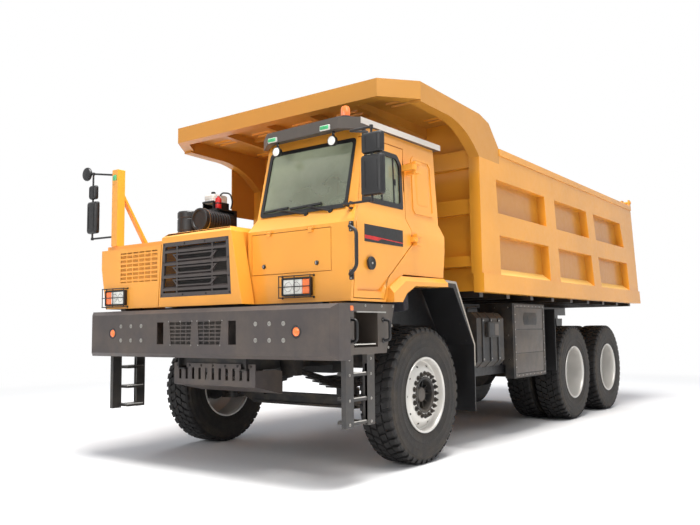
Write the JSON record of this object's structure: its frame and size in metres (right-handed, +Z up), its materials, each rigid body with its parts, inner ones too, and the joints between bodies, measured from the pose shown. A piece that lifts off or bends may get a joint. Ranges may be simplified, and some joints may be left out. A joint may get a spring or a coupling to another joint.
{
  "type": "mining dump truck",
  "caption": "Wide-body rigid mining dump truck: offset cab, tipping body with canopy and tailgate, steered front axle, twin-tyred rear bogie.",
  "frame": {"origin": "on the ground, under the middle of the truck's overall length and on its centreline", "axes": "+Z up, the truck faces -Y, +X to the truck's left, the cab's side"},
  "size_m": [4.15, 8.902, 3.825],
  "materials": {
    "yellow_paint": "semi-gloss yellow enamel",
    "grey_paint": "satin dark grey enamel",
    "chassis_paint": "satin black enamel",
    "wheel_paint": "satin silver paint",
    "tyre_rubber": "matt black rubber",
    "black_plastic": "grained black plastic",
    "window_glass": "lightly tinted glass",
    "lamp_glass": "clear lamp glass",
    "white_plastic": "translucent white plastic",
    "seat_fabric": "woven black fabric",
    "hoist_chrome": "hard-chromed tube"
  },
  "bodies": {
    "chassis": {"air_filters": "black_plastic", "bumper": "grey_paint", "cab_glass": "window_glass", "cab_shell": "yellow_paint", "cabinet": "chassis_paint", "dashboard": "black_plastic", "engine": "chassis_paint", "expansion_tank": "white_plastic", "frame_rails": "chassis_paint", "front_axle": "chassis_paint", "front_springs": "chassis_paint", "front_subframe": "chassis_paint", "fuel_tank": "chassis_paint", "grab_handles": "chassis_paint", "grille": "black_plastic", "headlights": "lamp_glass", "hood": "yellow_paint", "mirror_mast": "yellow_paint", "mirrors": "black_plastic", "mudguards": "chassis_paint", "rear_axles": "chassis_paint", "rear_suspension": "chassis_paint", "right_fender": "yellow_paint", "right_tanks": "chassis_paint", "roof_lamps": "lamp_glass", "roof_visor": "grey_paint", "seat": "seat_fabric", "skid_plate": "grey_paint", "step_ladders": "chassis_paint"},
    "steer_left": {"knuckle_left": "chassis_paint"},
    "steer_right": {"knuckle_right": "chassis_paint"},
    "steering_rod": {"tie_rod": "chassis_paint"},
    "front_wheel_left": {"front_rim_left": "wheel_paint", "front_tyre_left": "tyre_rubber"},
    "front_wheel_right": {"front_rim_right": "wheel_paint", "front_tyre_right": "tyre_rubber"},
    "middle_wheel_left": {"middle_rims_left": "wheel_paint", "middle_tyres_left": "tyre_rubber"},
    "middle_wheel_right": {"middle_rims_right": "wheel_paint", "middle_tyres_right": "tyre_rubber"},
    "rear_wheel_left": {"rear_rims_left": "wheel_paint", "rear_tyres_left": "tyre_rubber"},
    "rear_wheel_right": {"rear_rims_right": "wheel_paint", "rear_tyres_right": "tyre_rubber"},
    "door": {"cab_door": "yellow_paint", "door_window": "black_plastic"},
    "front_lid": {"service_lid": "yellow_paint"},
    "bed": {"dump_floor": "yellow_paint", "dump_sides": "yellow_paint", "dump_bulkhead": "yellow_paint", "dump_canopy": "yellow_paint"},
    "tailgate": {"tailgate": "yellow_paint"},
    "hoist_barrel": {"hoist_barrel": "chassis_paint"},
    "hoist_stage_1": {"hoist_stage_1": "hoist_chrome"},
    "hoist_stage_2": {"hoist_stage_2": "hoist_chrome"},
    "hoist_stage_3": {"hoist_stage_3": "hoist_chrome"},
    "hoist_stage_4": {"hoist_stage_4": "hoist_chrome"}
  },
  "joints": [
    {"name": "steer_left", "type": "hinge", "parent": "chassis", "child": "steer_left", "pos_m": [1.15, -2.8, 0.68311], "axis": [0, 0, 1], "range_deg": [-30, 30]},
    {"name": "steer_right", "type": "hinge", "parent": "chassis", "child": "steer_right", "pos_m": [-1.15, -2.8, 0.68311], "axis": [0, 0, 1], "range_deg": [-30, 30]},
    {"name": "tie_rod_swing", "type": "hinge", "parent": "steer_left", "child": "steering_rod", "pos_m": [1.15, -2.5, 0.51], "axis": [0, 0, 1], "range_deg": [-30, 30]},
    {"name": "roll_front_left", "type": "hinge", "parent": "steer_left", "child": "front_wheel_left", "pos_m": [1.415, -2.8, 0.68311], "axis": [1, 0, 0], "continuous": true},
    {"name": "roll_front_right", "type": "hinge", "parent": "steer_right", "child": "front_wheel_right", "pos_m": [-1.415, -2.8, 0.68311], "axis": [1, 0, 0], "continuous": true},
    {"name": "roll_middle_left", "type": "hinge", "parent": "chassis", "child": "middle_wheel_left", "pos_m": [1.4, 1.53, 0.68311], "axis": [1, 0, 0], "continuous": true},
    {"name": "roll_middle_right", "type": "hinge", "parent": "chassis", "child": "middle_wheel_right", "pos_m": [-1.4, 1.53, 0.68311], "axis": [1, 0, 0], "continuous": true},
    {"name": "roll_rear_left", "type": "hinge", "parent": "chassis", "child": "rear_wheel_left", "pos_m": [1.4, 3.09, 0.68311], "axis": [1, 0, 0], "continuous": true},
    {"name": "roll_rear_right", "type": "hinge", "parent": "chassis", "child": "rear_wheel_right", "pos_m": [-1.4, 3.09, 0.68311], "axis": [1, 0, 0], "continuous": true},
    {"name": "door_swing", "type": "hinge", "parent": "chassis", "child": "door", "pos_m": [1.738, -3.172, 2.6], "axis": [0, 0, 1], "range_deg": [0, 75]},
    {"name": "lid_swing", "type": "hinge", "parent": "chassis", "child": "front_lid", "pos_m": [0.955, -4.157, 2.272], "axis": [-1, 0, 0], "range_deg": [0, 80]},
    {"name": "bed_tip", "type": "hinge", "parent": "chassis", "child": "bed", "pos_m": [0, 3.75, 1.1], "axis": [-1, 0, 0], "range_deg": [0, 45]},
    {"name": "tailgate_swing", "type": "hinge", "parent": "bed", "child": "tailgate", "pos_m": [0, 4.08, 3.53], "axis": [1, 0, 0], "range_deg": [0, 60]},
    {"name": "hoist_swing", "type": "hinge", "parent": "chassis", "child": "hoist_barrel", "pos_m": [0, -2.28, 1.15], "axis": [-1, 0, 0], "range_deg": [0, 22.5]},
    {"name": "hoist_slide_1", "type": "slide", "parent": "hoist_barrel", "child": "hoist_stage_1", "axis": [0, 0.1337, 0.991], "range_m": [0, 1.1164]},
    {"name": "hoist_slide_2", "type": "slide", "parent": "hoist_stage_1", "child": "hoist_stage_2", "axis": [0, 0.1337, 0.991], "range_m": [0, 1.1164]},
    {"name": "hoist_slide_3", "type": "slide", "parent": "hoist_stage_2", "child": "hoist_stage_3", "axis": [0, 0.1337, 0.991], "range_m": [0, 1.1164]},
    {"name": "hoist_slide_4", "type": "slide", "parent": "hoist_stage_3", "child": "hoist_stage_4", "axis": [0, 0.1337, 0.991], "range_m": [0, 1.1164]}
  ],
  "couplings": [
    {"joint": "steer_right", "follows": "steer_left", "ratio": 1},
    {"joint": "tie_rod_swing", "follows": "steer_left", "ratio": -1},
    {"joint": "hoist_swing", "follows": "bed_tip", "ratio": 0.5},
    {"joint": "hoist_slide_1", "follows": "bed_tip", "m_per_rad": 1.4208},
    {"joint": "hoist_slide_2", "follows": "bed_tip", "m_per_rad": 1.4208},
    {"joint": "hoist_slide_3", "follows": "bed_tip", "m_per_rad": 1.4208},
    {"joint": "hoist_slide_4", "follows": "bed_tip", "m_per_rad": 1.4208}
  ]
}
